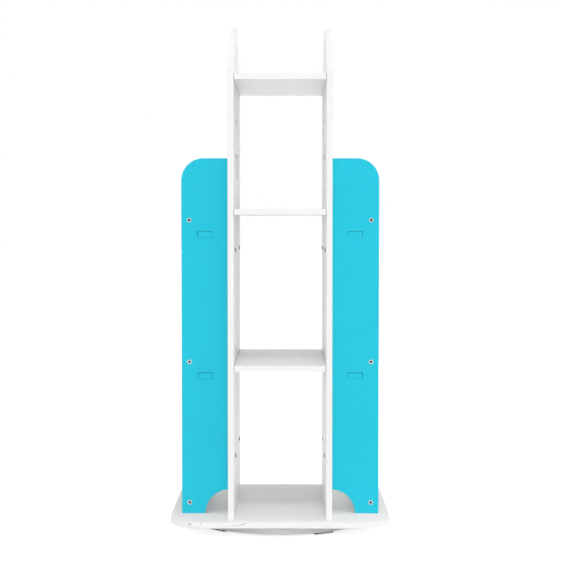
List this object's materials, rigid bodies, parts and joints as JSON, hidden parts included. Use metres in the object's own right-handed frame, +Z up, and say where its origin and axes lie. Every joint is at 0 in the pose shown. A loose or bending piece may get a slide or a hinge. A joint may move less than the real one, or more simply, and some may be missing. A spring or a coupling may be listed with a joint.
{
  "type": "revolving bookcase",
  "caption": "Floor-standing revolving bookcase: gabled white shelf tower with cyan wing panels forming side book racks, on a turntable plate and round base.",
  "frame": {"origin": "on the floor, under the turning axis, in the middle of the part's footprint", "axes": "+Z up along the turning axis; -Y is the open front of the tower, +X the right-hand rack seen from the front"},
  "size_m": [0.445, 0.445, 1.0375],
  "materials": {
    "white_board": "satin white paint on fibreboard",
    "cyan_board": "satin cyan paint on fibreboard",
    "grey_rubber": "matt grey rubber with black ends",
    "bearing_aluminium": "turned aluminium",
    "ball_steel": "polished bearing steel",
    "screw_steel": "bright zinc-plated steel",
    "dark_zinc": "dull zinc-plated steel",
    "black_zinc": "black zinc-plated steel",
    "nylon": "natural nylon",
    "beech": "bare beech"
  },
  "bodies": {
    "stand": {"foot_pads": "grey_rubber", "base_disc": "white_board", "bearing_inner_ring": "bearing_aluminium", "inner_ring_screws": "dark_zinc"},
    "ball_cage": {"ball_retainer": "nylon", "bearing_balls": "ball_steel"},
    "carousel": {"bearing_outer_ring": "bearing_aluminium", "outer_ring_screws": "dark_zinc", "turntable_plate": "white_board", "left_side_panel": "white_board", "right_side_panel": "white_board", "lower_shelf": "white_board", "middle_shelf": "white_board", "top_shelf": "white_board", "front_left_wing": "cyan_board", "front_right_wing": "cyan_board", "back_left_wing": "cyan_board", "back_right_wing": "cyan_board", "left_lower_ledge": "cyan_board", "left_upper_ledge": "cyan_board", "right_lower_ledge": "cyan_board", "right_upper_ledge": "cyan_board", "left_bottom_lip": "cyan_board", "left_middle_lip": "cyan_board", "left_top_lip": "cyan_board", "right_bottom_lip": "cyan_board", "right_middle_lip": "cyan_board", "right_top_lip": "cyan_board", "lip_screws": "screw_steel", "wing_screws": "black_zinc", "foot_screws": "screw_steel", "panel_screws": "screw_steel", "shelf_screws": "screw_steel", "shelf_dowels": "beech"}
  },
  "joints": [
    {"name": "carousel_spin", "type": "hinge", "parent": "stand", "child": "carousel", "pos_m": [0, 0, 0.02], "axis": [0, 0, 1], "continuous": true},
    {"name": "ball_cage_spin", "type": "hinge", "parent": "stand", "child": "ball_cage", "pos_m": [0, 0, 0.02], "axis": [0, 0, 1], "continuous": true}
  ],
  "couplings": [
    {"joint": "ball_cage_spin", "follows": "carousel_spin", "ratio": 0.5091}
  ]
}
